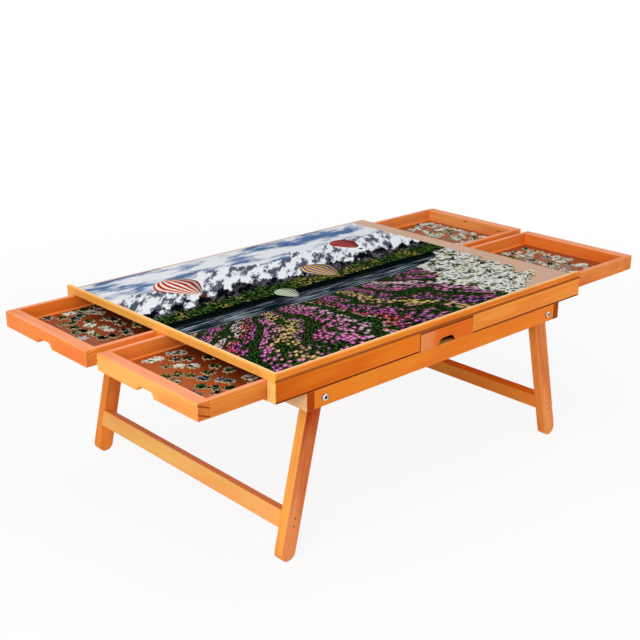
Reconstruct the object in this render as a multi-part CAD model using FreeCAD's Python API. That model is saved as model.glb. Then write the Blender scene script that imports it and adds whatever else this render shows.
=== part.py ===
import FreeCAD, Part
import math
import os

# Jigsaw puzzle table: a shallow pine box with a work board on top, four large drawers in its
# ends, two small drawers in its sides, and two folding leg frames under it.
# X runs along the table (left to right), Y across it (front to back), Z up. Sizes in mm.

Vector = FreeCAD.Vector
ACROSS = Vector(0, 1, 0)
ORIGIN = Vector(0, 0, 0)
SIDES = {"left": -1, "right": 1}
EDGES = {"front": -1, "back": 1}

# ---------------------------------------------------------------- driving dimensions
table_length = 865.0
table_depth = 667.0
table_height = 381.0
eased_edge = 0.8              # chamfer on the sanded timber edges

rim_width = 9.0               # raised strips along the front and left edges of the work board
rim_height = 10.5
board_thickness = 5.0
wall_height = 38.5
wall_thickness = 22.0
bay_width = 154.0             # opening for the small drawers, in the middle of each long wall
divider_thickness = 15.0
runner_height = 5.0
runner_width = 14.0

drawer_face_thickness = 25.0
drawer_side_thickness = 10.0
drawer_back_thickness = 10.0
drawer_bottom_thickness = 3.0
groove_depth = 5.0            # groove round the drawer that holds its bottom panel
groove_rise = 1.5             # from the lower edge of the drawer to the groove
groove_play = 0.2
bead_height = 3.5             # small sloped bead where the drawer side meets the bottom panel
bead_width = 2.5
drawer_side_gap = 0.75        # each side of a drawer
drawer_top_gap = 0.7          # under the work board
slide_gap = 0.3               # between a drawer and its runners
drawer_stop_gap = 1.5         # behind a closed drawer

grip_bottom_width = 55.0      # finger recess under a large drawer's face
grip_top_width = 38.0
grip_height = 11.0
grip_depth = 17.0
grip_corner = 3.5
small_grip_bottom_width = 51.0
small_grip_top_width = 33.0
small_grip_height = 13.5
small_grip_depth = 15.0
small_grip_corner = 12.0
small_face_gap = 0.5          # round the face of a small drawer

drawn_out = {"front_left": 143.0, "back_left": 152.0, "front_right": 241.0, "back_right": 245.0}

underframe_inset = 70.5       # from the end of the box to the cross board
cross_board_thickness = 18.5
apron_height = 35.0
apron_thickness = 18.5
apron_setback = 0.5           # from the wall's face to the apron's face

leg_width = 34.5
leg_thickness = 20.5
leg_splay = 13.3              # degrees from upright
leg_side_gap = 0.5            # between a leg and its apron
leg_stop_gap = 0.3            # between an open leg and the cross board's lower edge
pivot_drop = 17.6             # from the underside of the box to the leg pivot
stretcher_height = 33.5
stretcher_thickness = 20.5
stretcher_rise = 59.5         # from the floor to the stretcher's lower edge, on the legs' centre line

bolt_radius = 4.0
bolt_clearance = 0.08         # round the bolt, in the leg's bore
bolt_head_radius = 6.5
bolt_head_height = 5.0
bolt_head_chamfer = 1.5
bolt_socket_width = 5.0       # across the flats of the hexagon
bolt_socket_depth = 2.5
bolt_end = 2.0                # thread that shows past the nut
nut_width = 13.0              # across the flats
nut_height = 6.5
nut_gap = 0.3                 # between the nut and the turning leg

jigsaw_thickness = 2.0
jigsaw_columns = 43           # pieces along X
jigsaw_rows = 35              # pieces along Y
jigsaw_margin = 1.0           # between the jigsaw and the rims
jigsaw_right_strip = 46.75    # bare work board beyond the jigsaw
jigsaw_back_strip = 11.0
knob_radius = 2.5
knob_neck = 1.7               # half the width of a knob's neck

cut_overrun = 1.0             # how far a cutter reaches past the face that it opens

# ---------------------------------------------------------------- levels and places worked out
half_length = table_length / 2
half_depth = table_depth / 2
half_bay = bay_width / 2
rim_bottom = table_height - rim_height
board_bottom = rim_bottom - board_thickness
box_bottom = board_bottom - wall_height
apron_bottom = box_bottom - apron_height
runner_top = box_bottom + runner_height
drawer_bottom = runner_top + slide_gap
drawer_height = board_bottom - drawer_top_gap - drawer_bottom
wall_inside = half_depth - wall_thickness
rail_side = wall_thickness / 2
divider_outside = half_bay + divider_thickness

drawer_width = wall_inside - rail_side - 2 * drawer_side_gap
drawer_middle = (wall_inside + rail_side) / 2
drawer_length = half_length - divider_outside - drawer_stop_gap
small_drawer_width = bay_width - 2 * small_face_gap
small_drawer_length = half_depth - rail_side - drawer_stop_gap

cross_outside = half_length - underframe_inset
cross_inside = cross_outside - cross_board_thickness
apron_front = half_depth - apron_setback
apron_inside = apron_front - apron_thickness
leg_outside = apron_inside - leg_side_gap
leg_inside = leg_outside - leg_thickness
leg_radius = leg_width / 2
pivot_height = box_bottom - pivot_drop
splay = math.radians(leg_splay)
leg_reach = (pivot_height - leg_radius) / math.cos(splay)      # pivot to the centre of the foot's round

# The open leg stands against the inner lower edge of the cross board: the pivot lies so far
# inside that edge that the leg's outer face comes up to it.
stop_drop = pivot_height - apron_bottom
pivot_inset = (leg_radius + leg_stop_gap + stop_drop * math.sin(splay)) / math.cos(splay)
pivot_x = cross_inside - pivot_inset

jigsaw_left = rim_width + jigsaw_margin - half_length
jigsaw_front = rim_width + jigsaw_margin - half_depth
piece_length = (half_length - jigsaw_right_strip - jigsaw_left) / jigsaw_columns
piece_depth = (half_depth - jigsaw_back_strip - jigsaw_front) / jigsaw_rows

# The origin is on the floor, under the middle of the table with its drawers drawn out.
left_reach = half_length + max(drawn_out["front_left"], drawn_out["back_left"])
right_reach = half_length + max(drawn_out["front_right"], drawn_out["back_right"])
centring = Vector((left_reach - right_reach) / 2, 0, 0)


# ---------------------------------------------------------------- helpers
def save(name, shape):
    """Write one sub-part, moved from the table's own middle to the origin."""
    placed = shape.copy()
    placed.translate(centring)
    placed.exportStep("parts/" + name + ".step")


def block(x, y, z):
    """Box between two limits on each axis, given in either order."""
    low = Vector(min(x), min(y), min(z))
    size = Vector(max(x), max(y), max(z)) - low
    return Part.makeBox(size.x, size.y, size.z, low)


def timber(x, y, z):
    """Box with all its edges eased, as sanded timber has."""
    board = block(x, y, z)
    return board.makeChamfer(eased_edge, board.Edges)


def prism(points, direction):
    """Solid from a closed outline of straight runs, swept along a direction."""
    outline = Part.makePolygon(points + points[:1])
    return Part.Face(outline).extrude(direction)


def rod(start, direction, radius, length):
    """Cylinder from a centre point along a direction."""
    return Part.makeCylinder(radius, length, start, direction)


def hexagon(centre, direction, width, length):
    """Six-sided prism along Y with the given width across its flats."""
    corner = width / math.sqrt(3)
    points = []
    for number in range(6):
        angle = math.radians(60 * number)
        points.append(centre + Vector(corner * math.sin(angle), 0, corner * math.cos(angle)))
    return prism(points, direction * length)


# ---------------------------------------------------------------- the box
def save_board_and_rims():
    """Work board between the long edges, with a mitred rim along its front and left."""
    save("work_board", block((rim_width - half_length, half_length), (-half_depth, half_depth),
                             (board_bottom, rim_bottom)))
    corner = Vector(-half_length, -half_depth, rim_bottom)
    inner_corner = corner + Vector(rim_width, rim_width, 0)
    up = Vector(0, 0, rim_height)
    front_wedge = prism([corner, inner_corner, corner + Vector(0, rim_width, 0)], up)
    left_wedge = prism([corner, corner + Vector(rim_width, 0, 0), inner_corner], up)
    front_rim = timber((-half_length, half_length), (-half_depth, rim_width - half_depth),
                       (rim_bottom, table_height))
    left_rim = timber((-half_length, rim_width - half_length), (-half_depth, half_depth),
                      (board_bottom, table_height))
    save("front_rim", front_rim.cut(front_wedge))
    save("left_rim", left_rim.cut(left_wedge))


def save_walls():
    """Long walls in two lengths each, with a runner strip inside for the large drawers."""
    for edge_name, edge in EDGES.items():
        for side_name, side in SIDES.items():
            name = edge_name + "_" + side_name
            wall = timber((side * half_bay, side * half_length), (edge * wall_inside, edge * half_depth),
                          (box_bottom, board_bottom))
            runner = block((side * divider_outside, side * half_length),
                           (edge * wall_inside, edge * (wall_inside - runner_width)),
                           (box_bottom, runner_top))
            save(name + "_wall", wall)
            save(name + "_runner", runner)


def save_inner_frame():
    """Dividers beside the middle bay, and the centre rails between the large drawers."""
    for side_name, side in SIDES.items():
        divider = block((side * half_bay, side * divider_outside), (-wall_inside, wall_inside),
                        (box_bottom, board_bottom))
        bay_runner = block((side * half_bay, side * (half_bay - runner_width)),
                           (-wall_inside, wall_inside), (box_bottom, runner_top))
        rail = block((side * divider_outside, side * half_length), (-rail_side, rail_side),
                     (box_bottom, board_bottom))
        ledge = block((side * divider_outside, side * half_length),
                      (-rail_side - runner_width, rail_side + runner_width), (box_bottom, runner_top))
        save(side_name + "_divider", divider)
        save(side_name + "_bay_runner", bay_runner)
        save(side_name + "_centre_rail", rail.fuse(ledge).removeSplitter())
    save("bay_stop_block", block((-half_bay, half_bay), (-rail_side, rail_side),
                                 (runner_top, board_bottom)))


# ---------------------------------------------------------------- drawers
# A drawer is made with its face at x = 0 towards +X, its middle at y = 0 and the lower edge of
# its sides at z = 0. It is then turned and moved to its place.
panel_low = groove_rise + groove_play / 2
panel_high = panel_low + drawer_bottom_thickness
groove_top = panel_high + groove_play / 2
panel_inset = groove_depth - groove_play


def grip_recess(bottom_width, top_width, height, depth, corner, lower_edge):
    """Finger recess: a tapered slot from the lower edge, with rounded upper corners."""
    flare = (bottom_width - top_width) / 2 / height * cut_overrun
    points = [Vector(0, -bottom_width / 2 - flare, lower_edge - cut_overrun),
              Vector(0, -top_width / 2, lower_edge + height),
              Vector(0, top_width / 2, lower_edge + height),
              Vector(0, bottom_width / 2 + flare, lower_edge - cut_overrun)]
    recess = prism(points, Vector(-depth, 0, 0))
    upper_edges = [edge for edge in recess.Edges
                   if abs(edge.CenterOfMass.x + depth / 2) < depth / 4
                   and edge.CenterOfMass.z > lower_edge + height / 2]
    return recess.makeFillet(corner, upper_edges)


def drawer_side(width, length, face_thickness, outward):
    """Side board with a groove for the bottom panel, and a sloped bead above it up to the back."""
    outer = width / 2
    inner = outer - drawer_side_thickness
    groove_side = inner + groove_depth
    board = [(outer, 0), (outer, drawer_height), (inner, drawer_height), (inner, groove_top),
             (groove_side, groove_top), (groove_side, groove_rise), (inner, groove_rise), (inner, 0)]
    bead = [(inner, groove_top + bead_height), (inner - bead_width, groove_top), (inner, groove_top)]
    board_run = Vector(face_thickness - length, 0, 0)
    bead_run = Vector(face_thickness + drawer_back_thickness - length, 0, 0)
    board = prism([Vector(-face_thickness, outward * y, z) for y, z in board], board_run)
    bead = prism([Vector(-face_thickness, outward * y, z) for y, z in bead], bead_run)
    return board.fuse(bead).removeSplitter()


def drawer_parts(width, length, face_thickness, face_below, face_above, recess):
    """Face, two sides, back and bottom panel of one drawer, in the drawer's own frame."""
    half_width = width / 2
    inside_half = half_width - drawer_side_thickness
    bottom = block((groove_depth - groove_play - face_thickness,
                    drawer_back_thickness - panel_inset - length),
                   (-inside_half - panel_inset, inside_half + panel_inset), (panel_low, panel_high))
    groove = block((groove_depth - face_thickness, drawer_back_thickness - groove_depth - length),
                   (-inside_half - groove_depth, inside_half + groove_depth), (groove_rise, groove_top))
    face = timber((0, -face_thickness), (-half_width, half_width),
                  (-face_below, drawer_height + face_above))
    back = block((-length, drawer_back_thickness - length), (-inside_half, inside_half),
                 (0, drawer_height))
    return {"face": face.cut(groove).cut(recess),
            "back": back.cut(groove),
            "bottom": bottom,
            "low_y_side": drawer_side(width, length, face_thickness, -1),
            "high_y_side": drawer_side(width, length, face_thickness, 1)}


def placed_drawer(parts, turn, position):
    """The drawer's pieces turned about Z by some degrees and moved to a position."""
    placed = {}
    for name, shape in parts.items():
        piece = shape.copy()
        piece.rotate(ORIGIN, Vector(0, 0, 1), turn)
        piece.translate(position)
        placed[name] = piece
    return placed


def save_large_drawers():
    """Four drawers that slide out of the ends, two at each end."""
    recess = grip_recess(grip_bottom_width, grip_top_width, grip_height, grip_depth, grip_corner, 0)
    parts = drawer_parts(drawer_width, drawer_length, drawer_face_thickness, 0, 0, recess)
    for edge_name, edge in EDGES.items():
        for side_name, side in SIDES.items():
            name = edge_name + "_" + side_name
            position = Vector(side * (half_length + drawn_out[name]), edge * drawer_middle, drawer_bottom)
            turn = 0 if side > 0 else 180
            placed = placed_drawer(parts, turn, position)
            outer = "high_y_side" if side * edge > 0 else "low_y_side"
            inner = "low_y_side" if side * edge > 0 else "high_y_side"
            save(name + "_drawer_face", placed["face"])
            save(name + "_drawer_back", placed["back"])
            save(name + "_drawer_bottom", placed["bottom"])
            save(name + "_drawer_outer_side", placed[outer])
            save(name + "_drawer_inner_side", placed[inner])


def save_small_drawers():
    """Two drawers in the middle bay, one from the front and one from the back."""
    face_below = drawer_bottom - box_bottom - small_face_gap
    face_above = drawer_top_gap - small_face_gap
    recess = grip_recess(small_grip_bottom_width, small_grip_top_width, small_grip_height,
                         small_grip_depth, small_grip_corner, -face_below)
    parts = drawer_parts(small_drawer_width, small_drawer_length, wall_thickness,
                         face_below, face_above, recess)
    for edge_name, edge in EDGES.items():
        name = edge_name + "_small_drawer"
        placed = placed_drawer(parts, edge * 90, Vector(0, edge * half_depth, drawer_bottom))
        left = "high_y_side" if edge > 0 else "low_y_side"
        right = "low_y_side" if edge > 0 else "high_y_side"
        save(name + "_face", placed["face"])
        save(name + "_back", placed["back"])
        save(name + "_bottom", placed["bottom"])
        save(name + "_left_side", placed[left])
        save(name + "_right_side", placed[right])


# ---------------------------------------------------------------- underframe and legs
def save_underframe():
    """Aprons between two cross boards, with the pivot bolts and their nuts."""
    hole_length = apron_thickness + 2 * cut_overrun
    for edge_name, edge in EDGES.items():
        apron = timber((-cross_inside, cross_inside), (edge * apron_inside, edge * apron_front),
                       (apron_bottom, box_bottom))
        for side in SIDES.values():
            hole_start = Vector(side * pivot_x, edge * (apron_inside - cut_overrun), pivot_height)
            apron = apron.cut(rod(hole_start, ACROSS * edge, bolt_radius, hole_length))
        save(edge_name + "_apron", apron)
    for side_name, side in SIDES.items():
        cross_board = timber((side * cross_inside, side * cross_outside), (-apron_front, apron_front),
                             (apron_bottom, box_bottom))
        save(side_name + "_cross_board", cross_board)


def pivot_bolt(side, edge):
    """Round-headed bolt with a hexagon socket, from the apron's face towards the middle."""
    inward = ACROSS * -edge
    seat = Vector(side * pivot_x, edge * apron_front, pivot_height)
    head = rod(seat, ACROSS * edge, bolt_head_radius, bolt_head_height)
    rim = [curve for curve in head.Edges
           if curve.Length > bolt_head_radius * 6
           and abs(abs(curve.CenterOfMass.y) - apron_front - bolt_head_height) < bolt_head_height / 2]
    head = head.makeChamfer(bolt_head_chamfer, rim)
    socket_mouth = seat + ACROSS * edge * bolt_head_height
    head = head.cut(hexagon(socket_mouth, inward, bolt_socket_width, bolt_socket_depth))
    length = apron_front - leg_inside + nut_gap + nut_height + bolt_end
    return head.fuse(rod(seat, inward, bolt_radius, length)).removeSplitter()


def pivot_nut(side, edge):
    """Hexagon nut on the bolt, just clear of the leg's inner face."""
    inward = ACROSS * -edge
    seat = Vector(side * pivot_x, edge * (leg_inside - nut_gap), pivot_height)
    return hexagon(seat, inward, nut_width, nut_height).cut(rod(seat, inward, bolt_radius, nut_height))


def save_pivot_bolts():
    """The four bolts and their nuts as one group of separate solids."""
    fasteners = []
    for side in SIDES.values():
        for edge in EDGES.values():
            fasteners += [pivot_bolt(side, edge), pivot_nut(side, edge)]
    save("pivot_bolts", Part.makeCompound(fasteners))


def leg(edge):
    """Upright leg with both ends fully round, its pivot bore at the origin, its foot below."""
    top_left = Vector(-leg_radius, 0, 0)
    top_right = Vector(leg_radius, 0, 0)
    low_right = Vector(leg_radius, 0, -leg_reach)
    low_left = Vector(-leg_radius, 0, -leg_reach)
    outline = Part.Wire([
        Part.Arc(top_left, Vector(0, 0, leg_radius), top_right).toShape(),
        Part.LineSegment(top_right, low_right).toShape(),
        Part.Arc(low_right, Vector(0, 0, -leg_reach - leg_radius), low_left).toShape(),
        Part.LineSegment(low_left, top_left).toShape()])
    blank = Part.Face(outline).extrude(ACROSS * edge * leg_thickness)
    rims = [curve for curve in blank.Edges
            if abs(abs(curve.CenterOfMass.y) - leg_thickness / 2) > leg_thickness / 4]
    blank = blank.makeChamfer(eased_edge, rims)
    bore_start = Vector(0, -edge * cut_overrun, 0)
    bore_length = leg_thickness + 2 * cut_overrun
    return blank.cut(rod(bore_start, ACROSS * edge, bolt_radius + bolt_clearance, bore_length))


def save_leg_frames():
    """Two frames of two legs and a stretcher, splayed out at the left and right."""
    foot_rise = (pivot_height - stretcher_rise) / math.cos(splay)
    for side_name, side in SIDES.items():
        turn = -side * leg_splay
        pivot = Vector(side * pivot_x, 0, pivot_height)
        outer_face = side * leg_radius
        stretcher = timber((outer_face, outer_face - side * stretcher_thickness),
                           (-leg_inside, leg_inside), (-foot_rise, stretcher_height - foot_rise))
        stretcher.rotate(ORIGIN, ACROSS, turn)
        stretcher.translate(pivot)
        save(side_name + "_stretcher", stretcher)
        for edge_name, edge in EDGES.items():
            piece = leg(edge)
            piece.rotate(ORIGIN, ACROSS, turn)
            piece.translate(pivot + ACROSS * edge * leg_inside)
            save(edge_name + "_" + side_name + "_leg", piece)


# ---------------------------------------------------------------- the jigsaw on the board
def cut_line(start, end, knob_side):
    """Edge between two pieces: a straight cut with one round knob in its middle."""
    along = (end - start).normalize()
    out = Vector(-along.y, along.x, 0) * knob_side
    middle = (start + end) / 2
    rise = math.sqrt(knob_radius ** 2 - knob_neck ** 2)
    neck_start = middle - along * knob_neck
    neck_end = middle + along * knob_neck
    return [Part.LineSegment(start, neck_start).toShape(),
            Part.Arc(neck_start, middle + out * (rise + knob_radius), neck_end).toShape(),
            Part.LineSegment(neck_end, end).toShape()]


def save_jigsaw():
    """Jigsaw laid from the rims' corner; its right side is open where pieces are missing.

    Knobs point in turn to one side and the other, like the squares of a chessboard.
    """
    def corner(column, row):
        return Vector(jigsaw_left + column * piece_length, jigsaw_front + row * piece_depth, rim_bottom)

    missing_at_right = [6, 5, 3, 1, 0, 2, 1, 0, 1, 0, 0, 1]     # pieces, front row first
    row_ends = [jigsaw_columns - missing for missing in missing_at_right]
    row_ends += [jigsaw_columns] * (jigsaw_rows - len(missing_at_right))
    edges = [Part.LineSegment(corner(0, 0), corner(row_ends[0], 0)).toShape()]
    for row, column in enumerate(row_ends):
        start = corner(column, row)
        end = corner(column, row + 1)
        if column == jigsaw_columns:
            edges.append(Part.LineSegment(start, end).toShape())
        else:
            edges += cut_line(start, end, 1 if (column + row) % 2 else -1)
        next_column = row_ends[row + 1] if row + 1 < jigsaw_rows else column
        step = 1 if next_column > column else -1
        for passed in range(column, next_column, step):
            chequer = (min(passed, passed + step) + row) % 2
            edges += cut_line(corner(passed, row + 1), corner(passed + step, row + 1),
                              step if chequer else -step)
    edges.append(Part.LineSegment(corner(row_ends[-1], jigsaw_rows), corner(0, jigsaw_rows)).toShape())
    edges.append(Part.LineSegment(corner(0, jigsaw_rows), corner(0, 0)).toShape())
    sheet = Part.Face(Part.Wire(edges)).extrude(Vector(0, 0, jigsaw_thickness))
    save("assembled_jigsaw", sheet)


os.makedirs("parts", exist_ok=True)
save_board_and_rims()
save_walls()
save_inner_frame()
save_large_drawers()
save_small_drawers()
save_underframe()
save_pivot_bolts()
save_leg_frames()
save_jigsaw()
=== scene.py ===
import math
from types import SimpleNamespace
import bpy
import numpy as np
from mathutils import Euler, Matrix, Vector


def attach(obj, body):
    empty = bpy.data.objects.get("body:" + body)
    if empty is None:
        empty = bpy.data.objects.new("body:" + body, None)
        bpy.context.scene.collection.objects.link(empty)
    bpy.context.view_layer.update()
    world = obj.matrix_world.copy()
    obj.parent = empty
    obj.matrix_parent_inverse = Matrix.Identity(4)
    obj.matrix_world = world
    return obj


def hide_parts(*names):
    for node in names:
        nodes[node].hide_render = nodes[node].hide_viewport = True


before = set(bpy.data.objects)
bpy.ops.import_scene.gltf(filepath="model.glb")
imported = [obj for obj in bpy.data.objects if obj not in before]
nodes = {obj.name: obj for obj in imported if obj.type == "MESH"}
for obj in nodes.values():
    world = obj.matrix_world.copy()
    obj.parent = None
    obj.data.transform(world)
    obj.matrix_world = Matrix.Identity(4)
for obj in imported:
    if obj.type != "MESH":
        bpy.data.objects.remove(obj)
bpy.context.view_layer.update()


# ================================================================ box of the table
# Long walls, dividers, rails and runners: planed pine boards, stained orange and satin
# varnished, glued and pinned together. Each board is cut from a log of its own, so its rings
# show as streaks along it and as arcs on its ends, where the stain has soaked in darker.
def srgb(red, green, blue):
    """Linear colour of a paint that is given as a screen shows it, from 0 to 255."""
    return tuple(((part / 255 + 0.055) / 1.055) ** 2.4 for part in (red, green, blue)) + (1.0,)


class Wire:
    """A node's output inside a material; sums, products and powers of wires add Math nodes."""

    def __init__(self, tree, socket=None):
        self.tree = tree
        self.socket = socket

    def node(self, kind, settings=None, inputs=None, output=0):
        """Any node: its settings are set first, then its sockets get values or links."""
        made = self.tree.nodes.new("ShaderNode" + kind)
        for name, value in (settings or {}).items():
            setattr(made, name, value)
        for name, value in (inputs or {}).items():
            if isinstance(value, Wire):
                self.tree.links.new(value.socket, made.inputs[name])
            else:
                made.inputs[name].default_value = value
        return Wire(self.tree, made.outputs[output])

    def math(self, operation, *values):
        return self.node("Math", {"operation": operation}, dict(enumerate(values)))

    def __add__(self, other):
        return self.math("ADD", self, other)

    def __sub__(self, other):
        return self.math("SUBTRACT", self, other)

    def __rsub__(self, other):
        return self.math("SUBTRACT", other, self)

    def __mul__(self, other):
        return self.math("MULTIPLY", self, other)

    def __truediv__(self, other):
        return self.math("DIVIDE", self, other)

    def __pow__(self, other):
        return self.math("POWER", self, other)

    def __abs__(self):
        return self.math("ABSOLUTE", self)

    __radd__ = __add__
    __rmul__ = __mul__

    def larger(self, other):
        return self.math("MAXIMUM", self, other)

    def part_of_one(self):
        """What is left after the whole number below the value is taken away."""
        return self.math("FRACT", self)

    def sine(self):
        return self.math("SINE", self)

    def logarithm(self):
        return self.math("LOGARITHM", self, math.e)

    def step(self, low, high):
        """Smooth rise from 0 at low to 1 at high, or a fall if low is the larger."""
        return self.node("MapRange", {"interpolation_type": "SMOOTHSTEP"},
                         {"Value": self, "From Min": low, "From Max": high})

    def axes(self):
        """The three parts of a vector."""
        apart = self.node("SeparateXYZ", None, {"Vector": self}).socket.node
        return [Wire(self.tree, part) for part in apart.outputs]

    def scaled(self, factors):
        return self.node("VectorMath", {"operation": "MULTIPLY"}, {0: self, 1: factors})

    def noise(self, lumps, detail=2.0, roughness=0.5):
        """Soft random value; lumps is how many fit in a metre along each axis of this vector."""
        return self.node("TexNoise", None, {"Vector": self.scaled(lumps), "Scale": 1.0,
                                            "Detail": detail, "Roughness": roughness})

    def blend(self, first, second):
        """Colour between two others, with this value as the share of the second.

        A Mix node has sockets for each kind of data; 6 and 7, and output 2, are its colours.
        """
        return self.node("Mix", {"data_type": "RGBA"}, {0: self, 6: first, 7: second}, 2)

    def ramp(self, stops):
        """Colour between the nearest two of some stops, each a place from 0 to 1 and a colour."""
        painted = self.node("ValToRGB", None, {0: self})
        band = painted.socket.node.color_ramp
        for stop in stops[1:-1]:
            band.elements.new(stop[0])
        for element, (position, colour) in zip(band.elements, stops):
            element.position = position
            element.color = colour
        return painted

    def relief(self, strength, depth):
        """Bumps in a surface, as high as depth in metres where this value is 1."""
        return self.node("Bump", None, {"Strength": strength, "Distance": depth, "Height": self})

    def object_place(self):
        """Place of each point of a piece, in metres."""
        return self.node("TexCoord", output="Object")


def new_finish(name):
    """A material with an empty surface shader, and the wire that its nodes start from."""
    material = bpy.data.materials.new(name)
    material.use_nodes = True
    start = Wire(material.node_tree)
    return material, start


def set_surface(material, inputs, metallic=0.0):
    """Feeds the surface shader of a material; inputs are socket names with values or wires."""
    shader = material.node_tree.nodes["Principled BSDF"]
    shader.inputs["Metallic"].default_value = metallic
    for name, value in inputs.items():
        if isinstance(value, Wire):
            material.node_tree.links.new(value.socket, shader.inputs[name])
        else:
            shader.inputs[name].default_value = value


def board_frame(node, turn):
    """Middle and half sizes of a board, measured in axes turned so that X runs along its grain."""
    mesh = nodes[node].data
    corners = np.empty(len(mesh.vertices) * 3, np.float32)
    mesh.vertices.foreach_get("co", corners)
    axes = np.array(Euler(turn).to_matrix())
    turned = corners.reshape(-1, 3) @ axes
    low = turned.min(axis=0)
    high = turned.max(axis=0)
    return axes @ ((low + high) / 2), (high - low) / 2


def near_high(place, half, begins, full):
    """Rises from 0 at the distance begins from a board's high side to 1 at the distance full."""
    return place.step(half - begins, half - full)


def near_low(place, half, begins, full):
    """Rises from 0 at the distance begins from a board's low side to 1 at the distance full."""
    return place.step(begins - half, full - half)


GRAIN_X = (0.0, 0.0, 0.0)
GRAIN_Y = (0.0, 0.0, math.radians(90))
orange_light = (253, 152, 56)
orange_dark = (206, 92, 16)
open_end_grain = srgb(126, 54, 18)
# The paler colour of the boards' edges: partly wear, partly a painted highlight where the edges
# catch the light.
wear_and_highlight_edge = srgb(255, 190, 110)
shadow_edge = srgb(112, 38, 4)
ring_spacing = 0.0062
ring_wander = 0.034
ring_waver = 0.0035
knot_colour = srgb(112, 46, 12)
knot_outside = 0.0070
knot_heart = 0.0018
knot_reach = 0.018
knot_bend = 0.011
board_number = np.random.default_rng(12)


def pine(node, turn, light=orange_light, dark=orange_dark, ends=orange_light, top=None,
         shade=(0.0, 0.0), knots=(), marks=None):
    """Stained pine on one board.

    Rings: distance from a wandering pith beside the board, divided by the ring spacing; the cube
    of the fractional part is the dark late wood. Streaks and blotches of stain are added, and rosy
    clouds. shade is painted shade and light, added towards the board's low and high end, darker
    above 0 and paler below it, but not on a top that has a colour of its own. The edges are
    painted paler, partly wear and partly a painted highlight. A knot goes through the board's
    thickness, with its place along and up the board, and bends the rings around it. marks paints
    what only this board has: it gets the colour and the board, which is the place along, across
    and up it and its half sizes, and gives the new colour.
    """
    middle, half = board_frame(node, turn)
    tone = board_number.uniform(0.97, 1.0)
    pith_angle = board_number.uniform(0, 2 * math.pi)
    pith_distance = board_number.uniform(0.014, 0.05)
    material, start = new_finish("pine_" + node)
    place = start.object_place()
    grain = start.node("Mapping", {"vector_type": "TEXTURE"},
                       {"Vector": place, "Location": middle, "Rotation": turn})
    along, across, up = grain.axes()
    off_across = across - pith_distance * math.cos(pith_angle)
    off_up = up - pith_distance * math.sin(pith_angle)
    radius = (off_across ** 2 + off_up ** 2) ** 0.5
    radius = radius + grain.noise((1.3, 6.0, 6.0)) * ring_wander
    radius = radius + grain.noise((8.0, 32.0, 32.0)) * ring_waver
    off_knots = [(((along - knot_along) * 0.7) ** 2 + ((up - knot_up) * 2.2) ** 2) ** 0.5
                 for knot_along, knot_up in knots]
    for off_knot in off_knots:
        radius = radius + off_knot.step(knot_reach, 0.0) * knot_bend
    late_wood = (radius / ring_spacing).part_of_one() ** 3
    streak = grain.noise((3.5, 150.0, 150.0), 3.0).step(0.36, 0.68)
    blotch = grain.noise((7.0, 16.0, 16.0), 3.0).step(0.36, 0.66)
    fibre = grain.noise((18.0, 900.0, 900.0), 3.0)
    figure = late_wood * 0.20 + streak * 0.16 + blotch * 0.32 + fibre * 0.16 - 0.08
    # end_shade is painted shade and light towards the board's ends.
    end_shade = along.step(0.0, -half[0]) * shade[0] + along.step(0.0, half[0]) * shade[1]

    near = [near_high(abs(part), size, 0.0013, 0.0005)
            for part, size in zip((along, across, up), half)]
    arris = (near[0] * near[1]).larger(near[1] * near[2]).larger(near[0] * near[2])
    end = near_high(abs(along), half[0], 0.0007, 0.0003)

    red, green, blue = (part * tone for part in light)
    rosy = grain.noise((4.5, 14.0, 14.0)).step(0.42, 0.62) * 0.5
    light_stain = rosy.blend(srgb(red, green, blue), srgb(red, green * 0.86, blue * 0.92))
    dark_stain = srgb(*(part * tone for part in dark))
    colour = (figure + end_shade).blend(light_stain, dark_stain)
    # On many boards a top of its own colour is painted light or shade: a sheen, a lit flank or a
    # shaded top.
    if top:
        on_top = near_high(up, half[2], 0.0009, 0.0002)
        colour = on_top.blend(colour, figure.blend(srgb(*top), dark_stain))
    end_grain = (late_wood * 0.42 + blotch * 0.25).blend(srgb(*ends), open_end_grain)
    colour = end.blend(colour, end_grain)
    # The edges are painted paler: partly wear, partly a painted highlight.
    colour = (arris * (streak * 0.35 + 0.1)).blend(colour, wear_and_highlight_edge)
    if marks:
        colour = marks(colour, SimpleNamespace(along=along, across=across, up=up, half=half))
    for off_knot in off_knots:
        colour = (off_knot.step(knot_outside, knot_heart) * 0.6).blend(colour, knot_colour)
    relief = (fibre * 0.6 + late_wood * 0.4).relief(0.2, 0.0003)
    set_surface(material, {"Base Color": colour, "Roughness": 0.40 + figure * 0.12 + end * 0.2,
                           "Normal": relief, "Specular IOR Level": 0.03})
    nodes[node].material_slots[0].material = material


def shaded_lower_edge(colour, board):
    """Painted shade: a dark line along the board's rounded lower edge, above the joint below it.
    """
    low = near_low(board.up, board.half[2], 0.0044, 0.0026)
    off_ends = near_high(abs(board.along), board.half[0], 0.0003, 0.0007)
    return (low * off_ends).blend(colour, shadow_edge)


wall_light = {"left": (246, 136, 34), "right": (255, 166, 70)}
wall_dark = {"left": (200, 84, 8), "right": (228, 112, 34)}
# wall_shade is painted shade and light: the walls darker towards their left end and paler towards
# their right.
wall_shade = {"left": (0.6, -0.5), "right": (0.2, -0.2)}
for side in ("left", "right"):
    for edge in ("front", "back"):
        pine(f"{edge}_{side}_wall", GRAIN_X, wall_light[side], wall_dark[side], (255, 206, 120),
             shade=wall_shade[side], marks=shaded_lower_edge)
        pine(f"{edge}_{side}_runner", GRAIN_X)
    pine(f"{side}_centre_rail", GRAIN_X)
    pine(f"{side}_divider", GRAIN_Y)
    pine(f"{side}_bay_runner", GRAIN_Y)
pine("bay_stop_block", GRAIN_X)


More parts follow.
